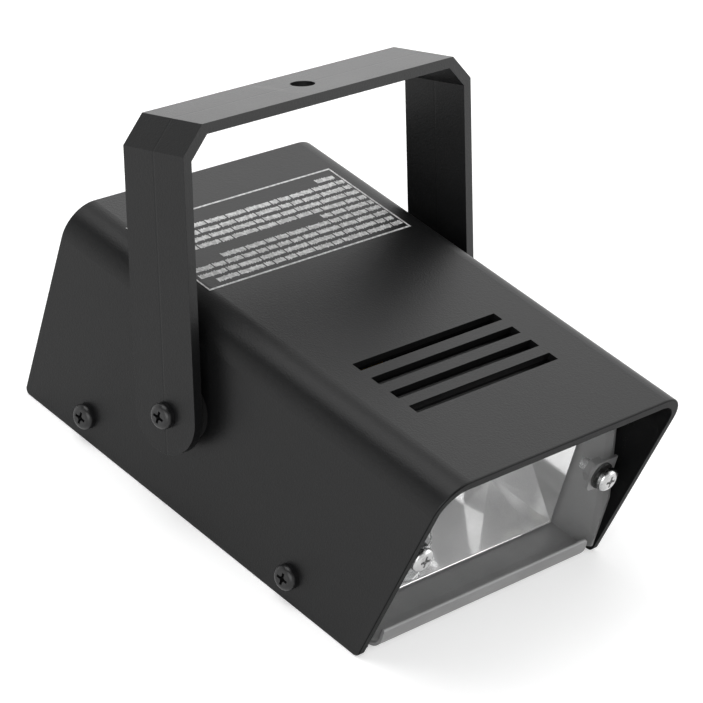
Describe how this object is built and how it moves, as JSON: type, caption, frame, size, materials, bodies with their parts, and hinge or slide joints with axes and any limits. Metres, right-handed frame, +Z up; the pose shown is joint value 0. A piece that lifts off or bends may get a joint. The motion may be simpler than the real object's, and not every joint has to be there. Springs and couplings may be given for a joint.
{
  "type": "xenon stroboscope",
  "caption": "Small bench stroboscope: black moulded cover with a slanted hood over a mirror lamp chamber, vent slots, a tilting carrying bracket and a rear speed knob.",
  "frame": {"origin": "centre of the flat metal base, on the plane it stands on", "axes": "+Z up from the base; -Y the way the lamp faces; +X to the right seen from the front as the lamp's own left"},
  "size_m": [0.1306, 0.1728, 0.1186],
  "materials": {
    "cover_plastic": "satin",
    "bracket_plastic": "satin",
    "fibre": "matte",
    "black_screw": "satin",
    "bright_screw": "polished",
    "zinc_steel": "satin",
    "zinc_sheet": "satin",
    "clear_pane": "polished",
    "mirror_sheet": "polished",
    "tube_glass": "polished",
    "nickel_wire": "satin",
    "black_rubber": "matte",
    "silicone_sleeve": "matte",
    "board_laminate": "satin",
    "insulation_film": "gloss",
    "capacitor_shell": "gloss",
    "transformer_coil": "gloss",
    "black_epoxy": "matte",
    "cement_body": "matte",
    "brass_clip": "satin",
    "terminal_plastic": "satin",
    "panel_paint": "satin",
    "pot_body": "satin",
    "shaft_metal": "satin",
    "knob_plastic": "satin",
    "lead_plastic": "satin",
    "gland_plastic": "satin"
  },
  "bodies": {
    "housing": {"cover": "cover_plastic", "friction_washers": "fibre", "pivot_screws": "black_screw", "pivot_nuts": "zinc_steel", "cover_screws": "black_screw", "chassis": "zinc_sheet", "front_pane": "clear_pane", "pane_screws": "bright_screw", "pane_grommets": "black_rubber", "pane_nuts": "zinc_steel", "reflector": "mirror_sheet", "reflector_end_left": "mirror_sheet", "reflector_end_right": "mirror_sheet", "flash_tube": "tube_glass", "tube_electrodes": "nickel_wire", "tube_sleeves": "silicone_sleeve", "trigger_band": "nickel_wire", "circuit_board": "board_laminate", "board_insulation": "insulation_film", "board_spacers": "zinc_steel", "board_screws": "zinc_steel", "flash_capacitors": "capacitor_shell", "trigger_transformer": "transformer_coil", "trigger_capacitor": "capacitor_shell", "thyristor": "black_epoxy", "neon_lamp": "tube_glass", "rectifier_diodes": "black_epoxy", "ballast_resistor": "cement_body", "fuse_glass": "tube_glass", "fuse_caps": "nickel_wire", "fuse_clips": "brass_clip", "terminal_block": "terminal_plastic", "earth_stud": "zinc_steel", "earth_tag": "brass_clip", "earth_nut": "zinc_steel", "rear_panel": "panel_paint", "panel_screws": "black_screw", "speed_pot": "pot_body", "pot_nut": "zinc_steel", "pot_leads": "lead_plastic", "gland_body": "gland_plastic", "gland_cap_nut": "gland_plastic", "gland_seal": "black_rubber", "gland_lock_nut": "gland_plastic"},
    "bracket_arm": {"bracket": "bracket_plastic"},
    "knob": {"speed_knob": "knob_plastic", "pot_shaft": "shaft_metal"}
  },
  "joints": [
    {"name": "bracket_tilt", "type": "hinge", "parent": "housing", "child": "bracket_arm", "pos_m": [0, 0.01125, 0.0332], "axis": [1, 0, 0], "range_deg": [-215, 78]},
    {"name": "speed_turn", "type": "hinge", "parent": "housing", "child": "knob", "pos_m": [-0.025, 0.08, 0.038], "axis": [0, 1, 0], "range_deg": [-150, 150]}
  ]
}
